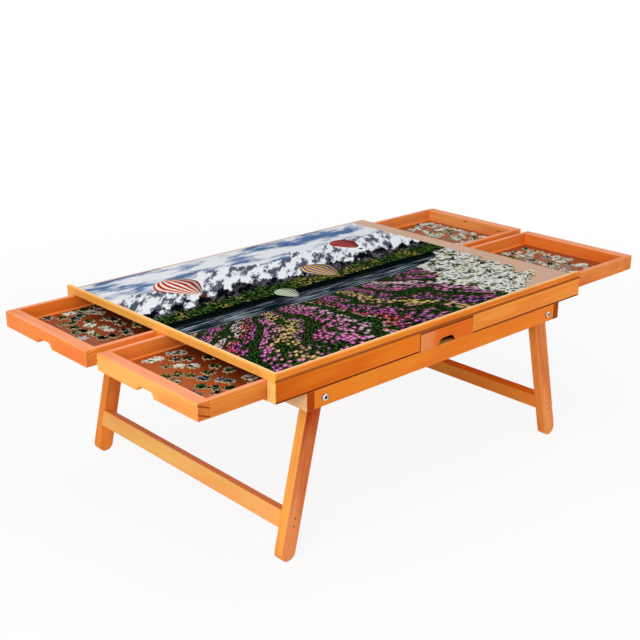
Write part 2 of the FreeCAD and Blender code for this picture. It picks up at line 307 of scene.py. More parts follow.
# ================================================================ work board and rims
# The work board is tan hardboard, 5 mm thick, smooth and a little satin on top and darker at
# its sawn edges. Two pine strips are glued on it along the front and left, mitred at the corner.
sawn_board = (168, 87, 28)


def highlighted_inner_edge(inner):
    """A painted highlight on the inner half of a rim's top; inner is 1 or -1, its side across the
    rim.
    """
    def paint(colour, board):
        inner_half = near_high(board.across * inner, board.half[1], 0.0050, 0.0036)
        on_top = near_high(board.up, board.half[2], 0.0012, 0.0004)
        return (inner_half * on_top * 0.85).blend(colour, srgb(255, 222, 176))
    return paint


def left_rim_marks(colour, board):
    """The painted highlight on the inner edge, and the work board's sawn edge, which crosses the
    rim's front end.
    """
    at_front = near_low(board.along, board.half[0], 0.0009, 0.0003)
    below = board.up.step(-0.0021, -0.0030)
    return (at_front * below).blend(highlighted_inner_edge(-1)(colour, board), srgb(*sawn_board))


pine("front_rim", GRAIN_X, (254, 150, 50), top=(255, 176, 90), marks=highlighted_inner_edge(1))
pine("left_rim", GRAIN_Y, (255, 192, 92), (240, 150, 52), top=(255, 196, 104),
     marks=left_rim_marks)


def hardboard(node, face_light, face_dark, sawn, gloss, inward=0):
    """Pressed fibre board: fine specks between two colours, slow clouds, and sawn dark edges.

    inward is the side, 1 or -1 along X, on which the board stays under the table, where painted
    shade makes it a deep red-brown, or 0 for a board without this painted shade.
    """
    middle, half = board_frame(node, GRAIN_X)
    material, start = new_finish("hardboard_" + node)
    place = start.object_place()
    from_middle = place.node("VectorMath", {"operation": "SUBTRACT"}, {0: place, 1: middle})
    along, across = from_middle.axes()[:2]
    speck = place.noise((700.0, 700.0, 700.0), 4.0, 0.7)
    hair = place.noise((90.0, 340.0, 340.0), 3.0)
    cloud = place.noise((5.0, 5.0, 5.0), 3.0)
    share = speck * 0.7 + hair * 0.35 + cloud * 0.5 - 0.28
    at_ends = near_high(abs(along), half[0], 0.0004, 0.0)
    at_sides = near_high(abs(across), half[1], 0.0004, 0.0)
    rim = at_ends.larger(at_sides)
    colour = share.blend(srgb(*face_light), srgb(*face_dark))
    if inward:
        # Painted shade: the panel darkens towards the end that stays under the table.
        shade_under_table = (along * inward).step(-0.13, 0.0) * 0.65
        colour = shade_under_table.blend(colour, srgb(98, 26, 8))
    colour = rim.blend(colour, srgb(*sawn))
    relief = speck.relief(0.15, 0.0002)
    set_surface(material, {"Base Color": colour, "Roughness": gloss + cloud * 0.1 + rim * 0.3,
                           "Normal": relief, "Specular IOR Level": 0.08})
    nodes[node].material_slots[0].material = material


hardboard("work_board", (220, 180, 152), (190, 150, 128), sawn_board, 0.42)


# ================================================================ drawers
# Six drawers of the same stained pine: a thick face cut away below for the fingers, two sides
# and a back, pinned at the corners, with a red-brown hardboard panel let into grooves.
# The salmon painted on the drawer boards' tops is a painted sheen of the light on them.
top_sheen = (251, 166, 122)
face_stain = {"front_left_drawer": (255, 188, 100), "back_left_drawer": (252, 144, 72),
              "front_right_drawer": (255, 140, 56), "back_right_drawer": (255, 170, 94)}
outer_stain = {"front_left_drawer": (242, 146, 64), "back_left_drawer": (254, 128, 40),
               "front_right_drawer": (255, 162, 84), "back_right_drawer": (254, 160, 88)}
outer_dark = {"front_left_drawer": (164, 76, 20)}
face_ends = {"front_left_drawer": (232, 132, 58)}
face_knots = {"back_right_drawer": ((-0.098, 0.004), (0.012, 0.009))}
inner_stain = (255, 150, 66)
panel_light = {"front_left_drawer": (214, 106, 38)}
panel_dark = (134, 56, 26)
sawn_panel = (96, 40, 22)
panel_gloss = 0.34
crack_slope = 0.4
crack_drop = 0.0010
crack_off_middle = 0.0079


def cracked_end(colour, board):
    """Two drying cracks, filled with dark stain, that slope across the front end of a face."""
    off_middle = abs(board.up - board.across * crack_slope + crack_drop)
    on_crack = abs(off_middle - crack_off_middle).step(0.0022, 0.0008)
    at_front = near_low(board.along, board.half[0], 0.0009, 0.0003)
    return (on_crack * at_front * 0.8).blend(colour, srgb(122, 46, 4))


face_marks = {"front_left_drawer": cracked_end}


def highlighted_bead(inward):
    """The bead at the foot of a drawer side is painted paler, a painted highlight; inward is 1 or
    -1, its side.
    """
    def paint(colour, board):
        on_bead = near_high(board.across * inward, board.half[1], 0.0027, 0.0022)
        return (on_bead * 0.8).blend(colour, srgb(*inner_stain))
    return paint


for edge, inward in (("front", 1), ("back", -1)):
    for side in ("left", "right"):
        drawer = f"{edge}_{side}_drawer"
        # Painted shade: the inner sides darken towards the end that stays under the table.
        hidden_end_shade = (0.0, 0.2) if side == "left" else (0.2, 0.0)
        pine(drawer + "_face", GRAIN_Y, face_stain[drawer], (224, 108, 34),
             face_ends.get(drawer, (252, 152, 68)), top=top_sheen,
             knots=face_knots.get(drawer, ()), marks=face_marks.get(drawer))
        pine(drawer + "_back", GRAIN_Y, top=top_sheen)
        pine(drawer + "_outer_side", GRAIN_X, outer_stain[drawer],
             outer_dark.get(drawer, orange_dark), top=top_sheen, marks=highlighted_bead(inward))
        pine(drawer + "_inner_side", GRAIN_X, inner_stain, top=top_sheen, shade=hidden_end_shade,
             marks=highlighted_bead(-inward))
        hardboard(drawer + "_bottom", panel_light.get(drawer, (170, 88, 50)), panel_dark,
                  sawn_panel, panel_gloss, 1 if side == "left" else 0)


def small_face_marks(colour, board):
    """A paler left end, and painted shade: dark lines at the ends and top and a dark inside of the
    recess.
    """
    pale = board.along.step(-0.022, -0.056) * 0.9
    colour = pale.blend(colour, srgb(238, 148, 88))
    # Painted shade: dark lines along the face's ends and top, where it meets the gaps round it.
    at_ends = near_high(abs(board.along), board.half[0], 0.0022, 0.0008)
    at_top = near_high(board.up, board.half[2], 0.0046, 0.0030)
    outer_face = near_high(abs(board.across), board.half[1], 0.0012, 0.0004)
    colour = (at_ends.larger(at_top) * outer_face * 0.85).blend(colour, shadow_edge)
    # Painted shade fills the inside of the finger recess.
    between_sides = abs(board.along).step(0.0270, 0.0260)
    under_top = near_low(board.up, board.half[2], 0.0143, 0.0133)
    behind_face = near_high(abs(board.across), board.half[1], 0.0006, 0.0030)
    return (between_sides * under_top * behind_face).blend(colour, srgb(50, 14, 2))


for edge in ("front", "back"):
    drawer = f"{edge}_small_drawer"
    pine(drawer + "_face", GRAIN_X, (242, 130, 44), (222, 90, 10), marks=small_face_marks)
    pine(drawer + "_back", GRAIN_X, top=top_sheen)
    pine(drawer + "_left_side", GRAIN_Y, top=top_sheen, marks=highlighted_bead(-1))
    pine(drawer + "_right_side", GRAIN_Y, top=top_sheen, marks=highlighted_bead(1))
    hardboard(drawer + "_bottom", (164, 84, 46), (130, 54, 24), sawn_panel, panel_gloss)


# ================================================================ underframe
# Two stained aprons between two cross boards. The cross boards are left as bare pale pine, with
# only their ends stained, where they show at the front and back.
for edge in ("front", "back"):
    # The aprons' tops are painted pale, a painted light where they show in the finger recesses,
    # and shade paints them paler towards their right end.
    pine(f"{edge}_apron", GRAIN_X, (254, 148, 46), (230, 112, 26), top=(250, 180, 110),
         shade=(0.05, -0.3))
for side in ("left", "right"):
    pine(f"{side}_cross_board", GRAIN_Y, (246, 208, 160), (224, 172, 112), (190, 78, 10))


# ================================================================ pivot bolts
# Four zinc-plated machine bolts with round heads, a hexagon socket and a nut behind each leg.
pivot_x = 0.32135
pivot_z = 0.3094
table_middle = -0.0465
thread_pitch = 0.00125
bolt_radius = 0.004
socket_radius = 0.0029
head_face = 0.338
lathe_lines = 9000.0


def plated_steel():
    """Bright zinc: turned rings, faint tarnish, a socket in painted shade and a thread wave on the
    shank.
    """
    material, start = new_finish("zinc_plate")
    place = start.object_place()
    x, y, z = place.axes()
    off_x = abs(x - table_middle) - pivot_x
    radius = (off_x ** 2 + (z - pivot_z) ** 2) ** 0.5
    tarnish = place.noise((160.0, 160.0, 160.0), 4.0)
    turned = (radius * lathe_lines).sine() * 0.1
    on_shank = radius.step(bolt_radius * 1.04, bolt_radius * 1.01)
    thread = (y * (2 * math.pi / thread_pitch)).sine() * on_shank
    in_head = near_high(abs(y), head_face, 0.0030, 0.0026)
    # Painted shade on and round the socket in the head.
    socket_shade = radius.step(socket_radius * 1.12, socket_radius) * in_head
    colour = tarnish.blend(srgb(222, 224, 228), srgb(176, 178, 184))
    colour = socket_shade.blend(colour, srgb(34, 34, 44))
    relief = (thread + turned).relief(0.6, 0.0003)
    set_surface(material, {"Base Color": colour, "Roughness": 0.16 + tarnish * 0.18,
                           "Normal": relief}, metallic=1.0)
    return material


nodes["pivot_bolts"].material_slots[0].material = plated_steel()


# ================================================================ leg frames
# Two frames, each of two legs with round ends and a stretcher between them, all stained pine.
# The legs lean out, so their grain is turned with them.
leg_splay = math.radians(13.3)
leg_light = {"front_left": (246, 154, 90), "back_left": (255, 154, 68),
             "front_right": (255, 166, 92), "back_right": (250, 146, 76)}
leg_dark = {"front_left": (172, 56, 0), "back_left": (188, 76, 8),
            "front_right": (188, 76, 8), "back_right": (188, 76, 8)}
# leg_flank paints each leg's flank towards -X with the light that falls on it, a painted light
# that is palest on the front left leg, which faces the left lamp.
leg_flank = {"front_left": (255, 176, 82), "back_left": (254, 150, 66),
             "front_right": (250, 152, 74), "back_right": (240, 138, 60)}
# leg_shade is painted shade and light on the legs' broad faces: the front left leg darker towards
# its top, under the table, and paler at its foot.
leg_shade = {"front_left": (-0.3, 0.7), "back_left": (-0.1, -0.1),
             "front_right": (-0.1, 0.1), "back_right": (0.0, 0.1)}
stretcher_light = {"left": (255, 198, 112), "right": (255, 164, 70)}
stretcher_dark = {"left": (250, 160, 82), "right": (248, 138, 46)}
# stretcher_top is painted shade on the stretchers' tops, darker than their faces, and
# stretcher_shade darkens the right stretcher towards its back end, a painted shade.
stretcher_top = {"left": (255, 148, 88), "right": (255, 118, 22)}
stretcher_shade = {"left": (0.0, 0.0), "right": (0.0, 0.5)}
for side, lean in (("left", 1), ("right", -1)):
    up_the_leg = (0.0, -math.pi / 2 + lean * leg_splay, 0.0)
    across_the_frame = (lean * leg_splay, 0.0, math.pi / 2)
    for edge in ("front", "back"):
        corner = f"{edge}_{side}"
        pine(corner + "_leg", up_the_leg, leg_light[corner], leg_dark[corner],
             top=leg_flank[corner], shade=leg_shade[corner])
    pine(f"{side}_stretcher", across_the_frame, stretcher_light[side], stretcher_dark[side],
         top=stretcher_top[side], shade=stretcher_shade[side])


# ================================================================ screws and pins
# Two dark screws with dished heads go through each leg into the stretcher. Two filled pin heads
# show on the face of the front rim.
def turned_heads(name, body, places, outward, profile, steps=20):
    """Small turned heads along Y: a profile of (radius, height) pairs swept round their axis.

    Point = place + radius * (cos a, 0, sin a) + height * outward. The first and last points of
    the profile lie on the axis, which closes each head.
    """
    angles = np.arange(steps) * 2 * math.pi / steps
    radii, heights = np.array(profile).T
    rings = len(profile) - 2
    ring_x = np.outer(radii[1:-1], np.cos(angles)).ravel()
    ring_z = np.outer(radii[1:-1], np.sin(angles)).ravel()
    ring_y = np.repeat(heights[1:-1], steps)
    shape = np.vstack([np.stack([ring_x, ring_y, ring_z], axis=1),
                       [[0, heights[0], 0], [0, heights[-1], 0]]])
    shape[:, 1] *= outward
    here = np.arange(steps)
    after = (here + 1) % steps
    ring_start = np.arange(rings - 1)[:, None] * steps
    next_start = ring_start + steps
    sides = np.stack([ring_start + here, ring_start + after,
                      next_start + after, next_start + here], axis=2)
    first = np.stack([np.full(steps, rings * steps), after, here], axis=1)
    last_row = (rings - 1) * steps
    last = np.stack([np.full(steps, rings * steps + 1), last_row + here, last_row + after], axis=1)
    faces = sides.reshape(-1, 4).tolist() + first.tolist() + last.tolist()
    points = np.array(places)[:, None, :] + shape
    all_faces = [[corner + head * len(shape) for corner in face][::outward]
                 for head in range(len(places)) for face in faces]
    mesh = bpy.data.meshes.new(name)
    mesh.from_pydata(points.reshape(-1, 3).tolist(), [], all_faces)
    heads = bpy.data.objects.new(name, mesh)
    bpy.context.scene.collection.objects.link(heads)
    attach(heads, body)
    return heads


def blackened_steel():
    """The dark, dull oxide coat of the screws, worn paler in specks."""
    material, start = new_finish("blackened_steel")
    place = start.object_place()
    wear = place.noise((900.0, 900.0, 900.0), 3.0)
    colour = wear.step(0.55, 0.7).blend(srgb(40, 22, 14), srgb(78, 50, 34))
    set_surface(material, {"Base Color": colour, "Roughness": 0.45 + wear * 0.2,
                           "Specular IOR Level": 0.05})
    return material


screw_finish = blackened_steel()
screw_profile = [(0.0, -0.0004), (0.0017, -0.0004), (0.0017, 0.00005), (0.0014, 0.0002),
                 (0.0008, 0.00016), (0.0004, 0.00006), (0.0, 0.00004)]
leg_face = 0.314
screw_heights = (0.0814, 0.0666)
screw_inset = 0.0012
for side, lean in (("left", -1), ("right", 1)):
    for edge, outward in (("front", -1), ("back", 1)):
        spots = []
        for height in screw_heights:
            reach = pivot_x + (pivot_z - height) * math.tan(leg_splay) - screw_inset
            spots.append((table_middle + lean * reach, outward * leg_face, height))
        screws = turned_heads(f"{edge}_{side}_leg_screws", f"{side}_legs", spots, outward,
                              screw_profile)
        screws.data.materials.append(screw_finish)

filler, start = new_finish("pin_filler")
place = start.object_place()
grit = place.noise((1500.0, 1500.0, 1500.0), 3.0)
set_surface(filler, {"Base Color": grit.blend(srgb(255, 214, 160), srgb(236, 176, 112)),
                     "Roughness": 0.4 + grit * 0.3})
pin_profile = [(0.0, -0.0003), (0.0012, -0.0003), (0.0012, 0.0), (0.0009, 0.00008), (0.0, 0.0001)]
rim_face = -0.3334
pin_places = [(table_middle - 0.083, rim_face, 0.3758), (table_middle + 0.050, rim_face, 0.3752)]
pins = turned_heads("rim_pins", "table", pin_places, -1, pin_profile)
pins.data.materials.append(filler)


# ================================================================ the jigsaw
# A picture printed on 2 mm cream card with a grey back, and cut with a die into 43 by 35 pieces.
# The die rounds each piece's upper edge. Pieces are missing at the right end of the front rows.
columns = 43
rows = 35
sheet_size = np.array([0.80825, 0.646])
piece_size = sheet_size / (columns, rows)
sheet_corner = np.array([table_middle - 0.4225, -0.3235])
card_bottom = 0.3705
card_thickness = 0.002
missing_in_front = [6, 5, 3, 1, 0, 2, 1, 0, 1, 0, 0, 1]
missing_at_right = missing_in_front + [0] * (rows - len(missing_in_front))
regular_columns = 8
regular_rows = 14
line_sway = 0.0009
turned_over_share = 0.35
knob_shift = 0.0013
large_knob = 0.0031
regular_knob = 0.0025
neck_share = 0.68
edge_points = 8
outline_points = 4 * edge_points
cut_gap = 0.00006
rounding_height = 0.0003
laid_rounding = 0.0003
linen_threads = 7000.0
middle_row = 18
die = np.random.default_rng(3)

# The lines of the die sway a little, and knobs are larger, change side and shift along their edge,
# except near the missing pieces, where they are as regular as the card sheet that they stand for.
line_x, line_y = np.meshgrid(np.arange(columns + 1), np.arange(rows + 1), indexing="ij")
regular = (line_x > columns - regular_columns) & (line_y < regular_rows)
inside = (line_x > 0) & (line_x < columns) & (line_y > 0) & (line_y < rows)
sway = np.where(inside & ~regular, line_sway, 0.0)
corners = np.stack([line_x * piece_size[0] + sway * np.sin(line_y * 1.9 + line_x * 0.7),
                    line_y * piece_size[1] + sway * np.sin(line_x * 2.3 + line_y * 0.4)], axis=2)
chequered = np.where((line_x + line_y) % 2 == 0, 1, -1)
turned_over = np.where((die.random(line_x.shape) < turned_over_share) & ~regular, -1, 1)
knob_left = -chequered * turned_over
knob_left[[0, columns], :] = 0
knob_back = chequered * turned_over[::-1]
knob_back[:, [0, rows]] = 0
knob_back[regular] = (chequered * (line_y > 0))[regular]
shift_left = np.where(regular, 0.0, die.uniform(-knob_shift, knob_shift, line_x.shape))
shift_back = np.where(regular, 0.0, die.uniform(-knob_shift, knob_shift, line_x.shape))
knob_radius = np.where(regular, regular_knob, large_knob)


def cut_edge(start, end, side, shift, radius):
    """Points along one edge of each piece, from its start corner up to just before its end.

    A knob is a circle whose centre lies off the edge, so that the circle cuts it in a neck;
    angle t runs round it: along = middle - r sin t, out = rise - r cos t.
    """
    side, shift, radius = side[:, None], shift[:, None], radius[:, None]
    run = end - start
    length = np.linalg.norm(run, axis=1)[:, None]
    ahead = run / length
    left = np.stack([-ahead[:, 1], ahead[:, 0]], axis=1)
    neck_turn = math.asin(neck_share)
    turn = np.linspace(neck_turn, 2 * math.pi - neck_turn, edge_points - 1)
    straight = np.arange(1, edge_points) / edge_points * length
    curved = length / 2 + shift - radius * np.sin(turn)
    along = np.where(side == 0, straight, curved)
    out = side * radius * (math.cos(neck_turn) - np.cos(turn))
    points = (start[:, None, :] + along[:, :, None] * ahead[:, None, :]
              + out[:, :, None] * left[:, None, :])
    return np.concatenate([start[:, None, :], points], axis=1)


def piece_outlines(c, r):
    """Outlines of the pieces at columns c and rows r, counter-clockwise from the front left."""
    front = cut_edge(corners[c, r], corners[c + 1, r],
                     knob_back[c, r], shift_back[c, r], knob_radius[c, r])
    right = cut_edge(corners[c + 1, r], corners[c + 1, r + 1],
                     knob_left[c + 1, r], shift_left[c + 1, r], knob_radius[c + 1, r])
    back = cut_edge(corners[c + 1, r + 1], corners[c, r + 1],
                    -knob_back[c, r + 1], -shift_back[c, r + 1], knob_radius[c, r + 1])
    left = cut_edge(corners[c, r + 1], corners[c, r],
                    -knob_left[c, r], -shift_left[c, r], knob_radius[c, r])
    return np.concatenate([front, right, back, left], axis=1)


def drawn_in(outline, gap, least_spread=0.6):
    """Outline moved inwards by a gap, each point along the mean of its two edges' normals.

    The mean is divided by its spread, 1 plus the cosine between the normals, which keeps the
    gap even round corners; least_spread keeps a sharp corner from moving too far.
    """
    ahead = np.roll(outline, -1, axis=1) - outline
    ahead /= np.linalg.norm(ahead, axis=2, keepdims=True)
    inward = np.stack([-ahead[:, :, 1], ahead[:, :, 0]], axis=2)
    before = np.roll(inward, 1, axis=1)
    spread = 1 + (inward * before).sum(axis=2, keepdims=True)
    return outline + gap * (inward + before) / np.maximum(spread, least_spread)


def card_points(c, r, rounding):
    """Three outlines of each piece, one above the other: foot, start of the rounding, and top."""
    outline = piece_outlines(c, r)
    layers = []
    for gap, height in ((cut_gap, 0.0), (cut_gap, card_thickness - rounding_height),
                        (cut_gap + rounding, card_thickness)):
        level = np.full(outline.shape[:2] + (1,), height)
        layers.append(np.concatenate([drawn_in(outline, gap), level], axis=2))
    return np.concatenate(layers, axis=1)


def card_pieces(name, body, points, printed_at, rim_finish):
    """A mesh of separate pieces: printed tops and rounded edges, cut card sides and a grey back.

    points holds each piece's three outlines where they lie, and printed_at the same points on
    the whole sheet, which give the place of each piece in the picture. The rounded edge is
    printed where rim_finish is 0 and shows cut card where it is 1.
    """
    count = len(points)
    around = np.arange(outline_points)
    after = (around + 1) % outline_points
    foot_side = np.stack([around, after, after + outline_points, around + outline_points], axis=1)
    template = np.vstack([foot_side, foot_side + outline_points])
    first = np.arange(count)[:, None] * (3 * outline_points)
    sides = (template[None] + first[:, :, None]).reshape(-1, 4)
    feet = first + around[::-1]
    tops = first + 2 * outline_points + around
    mesh = bpy.data.meshes.new(name)
    mesh.from_pydata(points.reshape(-1, 3).tolist(), [],
                     sides.tolist() + feet.tolist() + tops.tolist())
    side_finish = np.repeat([1, rim_finish], outline_points)
    finish = np.concatenate([np.tile(side_finish, count), np.full(count, 2), np.zeros(count, int)])
    mesh.polygons.foreach_set("material_index", finish)
    corner_of = np.empty(len(mesh.loops), int)
    mesh.loops.foreach_get("vertex_index", corner_of)
    picture_place = printed_at.reshape(-1, 3)[:, :2] / sheet_size
    mesh.uv_layers.new(name="picture").data.foreach_set("uv", picture_place[corner_of].ravel())
    for material in piece_finishes:
        mesh.materials.append(material)
    made = bpy.data.objects.new(name, mesh)
    bpy.context.scene.collection.objects.link(made)
    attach(made, body)
    return made


def bare_card(name, light, dark):
    """Pressed card without print: felted fibres between two colours, darker in specks."""
    material, start = new_finish(name)
    place = start.object_place()
    felt = place.noise((500.0, 500.0, 500.0), 4.0, 0.7)
    speck = place.noise((1600.0, 1600.0, 1600.0), 2.0).step(0.62, 0.7) * 0.6
    colour = speck.blend(felt.blend(srgb(*light), srgb(*dark)), srgb(112, 104, 96))
    set_surface(material, {"Base Color": colour, "Roughness": 0.75 + felt * 0.15,
                           "Specular IOR Level": 0.1})
    return material


def sky_and_peaks(at, y):
    """Blue sky with clouds, and a mountain range with snow above a wandering line."""
    cloud = at.noise((7.0, 19.0, 1.0), 5.0, 0.6).step(0.40, 0.55)
    sky = cloud.blend(srgb(82, 114, 160), srgb(230, 232, 236))
    crest = at.noise((5.5, 0.0, 0.0), 6.0, 0.6) * 0.30 + 0.385
    slanted = at.node("Mapping", None, {"Vector": at, "Rotation": (0.0, 0.0, 0.75)})
    facet = slanted.noise((46.0, 12.0, 1.0), 5.0, 0.65)
    rock = facet.step(0.45, 0.60).blend(srgb(8, 8, 16), srgb(92, 88, 100))
    snow = facet.step(0.44, 0.53).blend(srgb(84, 88, 106), srgb(236, 240, 244))
    mountain = (facet * 0.14 + (y - crest)).step(-0.052, -0.040).blend(rock, snow)
    return (crest - y).step(0.0, 0.001).blend(sky, mountain)


def forest_and_lake(picture, at, x, y):
    """Dark firs with a jagged top along a lake that mirrors them in long streaks."""
    fir = (x * 66.0 + at.noise((30.0, 0.0, 0.0)) * 2.0).part_of_one()
    fir_height = (0.5 - abs(fir - 0.5)) * at.noise((47.0, 0.0, 0.0)) * 0.11
    forest_top = at.noise((5.0, 0.0, 0.0)) * 0.07 + 0.335 + fir_height
    needles = at.noise((170.0, 95.0, 1.0), 4.0, 0.7)
    grove = at.noise((22.0, 10.0, 1.0), 3.0).step(0.50, 0.60)
    leaves = grove.blend(srgb(78, 118, 48), srgb(176, 168, 84))
    forest = needles.step(0.47, 0.63).blend(srgb(2, 9, 8), leaves)
    picture = (forest_top - y).step(0.0, 0.001).blend(picture, forest)
    streak = at.noise((11.0, 230.0, 1.0), 4.0, 0.65)
    lake = streak.step(0.49, 0.63).blend(srgb(8, 24, 34), srgb(150, 164, 176))
    mirrored = (y + streak * 0.05).step(0.325, 0.342).blend(lake, srgb(3, 12, 12))
    shore = at.noise((9.0, 0.0, 0.0)) * 0.02 + 0.327
    return (shore - y).step(0.0, 0.0008).blend(picture, mirrored)


def cells(at, scale):
    """Voronoi cells of a plane: the distance off a cell's centre and three chances of its own."""
    flat = {"voronoi_dimensions": "2D"}
    inputs = {"Vector": at, "Scale": scale}
    off_centre = at.node("TexVoronoi", flat, inputs)
    return [off_centre, *at.node("TexVoronoi", flat, inputs, "Color").axes()]


def flower_field(picture, at, x, y):
    """Drifts of blossoms in perspective: places are divided by a size that grows to the front.

    Each cell of a Voronoi pattern is a flower with a pale centre, or a gap of leaves. The size
    grows by 0.034, so its logarithm counts as one over that, 29.4, which keeps flowers round.
    """
    size = (0.27 - y) * 0.034 + 0.0052
    sideways = (x - 0.30) / size
    field = at.node("CombineXYZ", None, {"X": sideways, "Y": size.logarithm() * -29.4})
    wobble = field.node("TexNoise", None, {"Vector": field, "Scale": 2.2, "Detail": 2.0}, "Color")
    ragged = field.node("Mix", {"data_type": "VECTOR"}, {0: 0.035, 4: field, 5: wobble}, 1)
    off_centre, grown, bright, tint = cells(ragged, 1.15)
    leaves = field.noise((2.6, 1.7, 1.0), 4.0, 0.7).step(0.48, 0.66)
    drift = sideways * 0.085 + at.noise((5.0, 9.0, 1.0)) * 1.8
    petals = ((drift + tint * 0.16) * 0.37).part_of_one().ramp([
        (0.0, srgb(200, 62, 152)), (0.22, srgb(226, 124, 194)), (0.36, srgb(244, 230, 236)),
        (0.46, srgb(196, 26, 36)), (0.54, srgb(176, 66, 166)), (0.72, srgb(216, 112, 190)),
        (0.84, srgb(236, 206, 112)), (0.93, srgb(132, 60, 140))])
    lit = off_centre.step(0.62, 0.30) * (bright * 0.65 + 0.35)
    flower = lit.blend(srgb(20, 4, 22), petals)
    flower = off_centre.step(0.13, 0.09).blend(flower, srgb(246, 224, 160))
    in_drift = drift.part_of_one().step(0.80, 0.74) * at.noise((24.0, 34.0, 1.0)).step(0.38, 0.42)
    present = grown.step(0.24, 0.25) * off_centre.step(0.58, 0.52) * in_drift
    field_colour = present.blend(leaves.blend(srgb(1, 7, 6), srgb(72, 116, 44)), flower)
    meadow_edge = at.noise((7.0, 0.0, 0.0)) * 0.02 + 0.252
    return (meadow_edge - y).step(0.0, 0.0008).blend(picture, field_colour)


def blossom_bush(picture, at, x, y):
    """A bush of white blossom at the right: small flowers in clusters that are shaded below."""
    off_bush = ((x - 0.80) ** 2 + (y - 0.13) ** 2) ** 0.5
    off_bush = off_bush + at.noise((16.0, 16.0, 1.0), 4.0, 0.6) * 0.14
    off_centre, chance, shown, warm = cells(at, 165.0)
    cluster = at.noise((34.0, 44.0, 1.0), 4.0, 0.65)
    blossom = warm.step(0.6, 0.9).blend(srgb(238, 240, 236), srgb(232, 212, 178))
    shaded = off_centre.step(0.25, 0.6) * 0.45 + cluster.step(0.52, 0.42) * 0.4
    blossom = shaded.blend(blossom, srgb(92, 106, 98))
    leaves = chance.blend(srgb(4, 12, 6), srgb(72, 96, 50))
    bush = (shown.step(0.14, 0.16) * cluster.step(0.40, 0.44)).blend(leaves, blossom)
    bush = cluster.step(0.39, 0.35).blend(bush, srgb(3, 5, 5))
    return off_bush.step(0.262, 0.257).blend(picture, bush)


def balloon(picture, x, y, middle, size, first, second):
    """Striped hot-air balloon: a disc that tapers below, with a basket under it."""
    across = (x - middle[0]) / size
    up = (y - middle[1]) / size
    below = (up * -1.0).larger(0.0)
    swollen = across * (below * 0.45 + 1.0)
    height = up.larger(up * 0.74)
    disc = (swollen ** 2 + height ** 2) ** 0.5
    meridian = swollen / (1.06 - height ** 2) ** 0.5
    stripe = (meridian * 3.2 + 0.25).part_of_one().step(0.49, 0.51)
    cloth = stripe.blend(srgb(*first), srgb(*second))
    cloth = (meridian.step(-0.1, 1.0) * 0.6).blend(cloth, srgb(16, 14, 34))
    basket = abs(across).step(0.17, 0.15) * abs(up + 1.72).step(0.14, 0.12)
    picture = disc.step(1.0, 0.98).blend(picture, cloth)
    return basket.blend(picture, srgb(88, 50, 24))


def printed_picture():
    """Laminated print of a made-up view, painted from the back to the front.

    at is the place on the sheet, in metres from its front left corner, and x and y are its parts.
    """
    material, start = new_finish("printed_picture")
    spot = start.node("UVMap", {"uv_map": "picture"})
    at = spot.scaled(tuple(sheet_size) + (0.0,))
    x, y = at.axes()[:2]
    picture = sky_and_peaks(at, y)
    picture = forest_and_lake(picture, at, x, y)
    picture = flower_field(picture, at, x, y)
    picture = blossom_bush(picture, at, x, y)
    picture = balloon(picture, x, y, (0.17, 0.515), 0.052, (196, 26, 34), (240, 232, 214))
    picture = balloon(picture, x, y, (0.47, 0.405), 0.041, (24, 62, 152), (240, 190, 58))
    picture = balloon(picture, x, y, (0.655, 0.520), 0.034, (214, 92, 26), (60, 24, 88))
    picture = balloon(picture, x, y, (0.31, 0.330), 0.026, (30, 112, 74), (240, 232, 214))
    linen = (x * linen_threads).sine() * (y * linen_threads).sine()
    relief = linen.relief(0.12, 0.0001)
    sheen = at.noise((40.0, 40.0, 1.0))
    set_surface(material, {"Base Color": picture, "Roughness": 0.36 + sheen * 0.1,
                           "Normal": relief, "Specular IOR Level": 0.0})
    return material


piece_finishes = [printed_picture(), bare_card("cut_card", (222, 206, 170), (176, 158, 122)),
                  bare_card("card_back", (168, 172, 176), (190, 188, 182))]
all_columns, all_rows = np.meshgrid(np.arange(columns), np.arange(rows), indexing="ij")
present = all_columns < columns - np.array(missing_at_right)[all_rows]
for part, part_rows in (("front", all_rows < middle_row), ("back", all_rows >= middle_row)):
    chosen = present & part_rows
    sheet_points = card_points(all_columns[chosen], all_rows[chosen], laid_rounding)
    placed = sheet_points + (sheet_corner[0], sheet_corner[1], card_bottom)
    half_sheet = card_pieces(f"jigsaw_{part}_half", "table", placed, sheet_points, 0)
    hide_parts("assembled_jigsaw")


# ================================================================ loose pieces in the drawers
# The pieces that still have to be placed lie in the four large drawers, single or as joined
# pairs, mostly with the print up; a few lie across two others.
panel_top = 0.33695
lake_pieces = ((8, 15), (40, 20))
blossom_pieces = ((34, 2), (40, 12))
tries = 6000
pair_share = 0.28
pair_reach = 0.018
single_reach = 0.0105
face_down_share = 0.04
across_share = 0.3
across_distance = 0.0255
across_gap = 0.0001
loose_rounding = 0.0004


